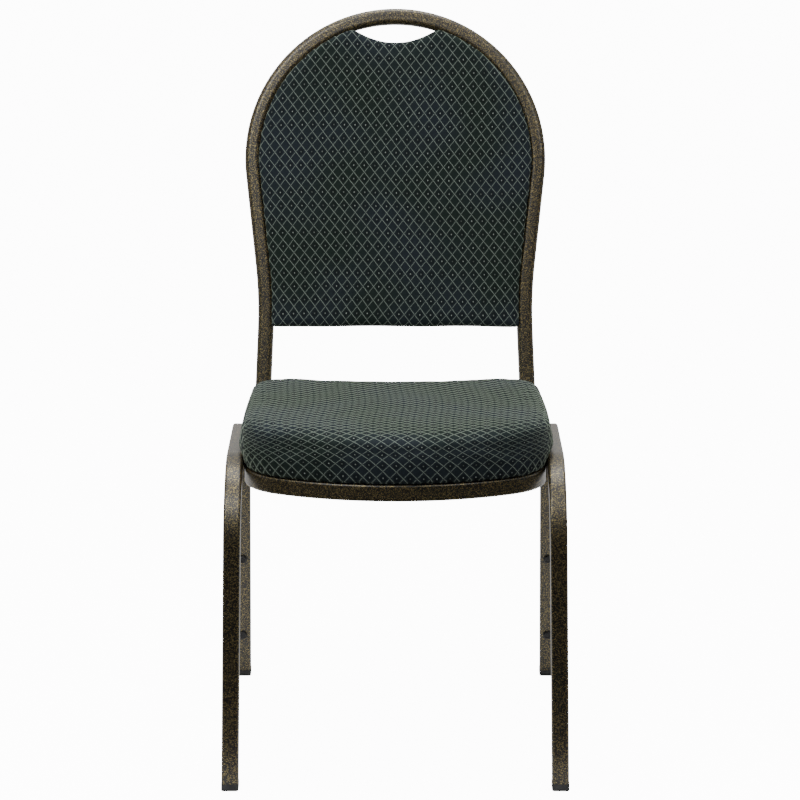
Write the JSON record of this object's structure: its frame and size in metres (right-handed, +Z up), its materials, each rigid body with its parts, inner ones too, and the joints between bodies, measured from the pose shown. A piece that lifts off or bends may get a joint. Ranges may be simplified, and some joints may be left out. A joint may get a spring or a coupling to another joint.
{
  "type": "stacking chair",
  "caption": "Stacking banquet chair with a dome-shaped tubular back, bent tubular leg arches, and a padded seat and back in diamond-patterned fabric.",
  "frame": {"origin": "on the floor, under the middle of the chair's outline", "axes": "+Z up, the front of the chair faces -Y, +X to the right as seen from the front"},
  "size_m": [0.4682, 0.5365, 0.9666],
  "materials": {
    "frame_paint": "dark brown powder coat with a fine gold vein",
    "black_plastic": "matte",
    "bumper_rubber": "matte",
    "zinc_steel": "zinc plated",
    "plywood": "raw",
    "hardboard": "raw",
    "foam": "open-cell foam",
    "patterned_fabric": "woven, with a small diamond lattice",
    "lining": "non-woven cambric"
  },
  "bodies": {
    "root": {"left_leg_arch": "frame_paint", "right_leg_arch": "frame_paint", "back_hoop": "frame_paint", "seat_frame": "frame_paint", "front_brace": "frame_paint", "rear_brace": "frame_paint", "rear_rail": "frame_paint", "front_side_plates": "frame_paint", "rear_side_plates": "frame_paint", "seat_tabs": "frame_paint", "back_tabs": "frame_paint", "front_left_glide": "black_plastic", "front_right_glide": "black_plastic", "rear_left_glide": "black_plastic", "rear_right_glide": "black_plastic", "hoop_end_plugs": "black_plastic", "back_panel_clips": "black_plastic", "upper_left_bumper": "bumper_rubber", "upper_right_bumper": "bumper_rubber", "lower_left_bumper": "bumper_rubber", "lower_right_bumper": "bumper_rubber", "seat_bolts": "zinc_steel", "seat_washers": "zinc_steel", "seat_tee_nuts": "zinc_steel", "back_screws": "zinc_steel", "seat_staples": "zinc_steel", "seat_board": "plywood", "back_board": "plywood", "rear_panel": "hardboard", "seat_foam": "foam", "back_foam": "foam", "rear_foam": "foam", "seat_cover": "patterned_fabric", "back_cover": "patterned_fabric", "rear_cover": "patterned_fabric", "seat_dust_cover": "lining"}
  },
  "joints": []
}
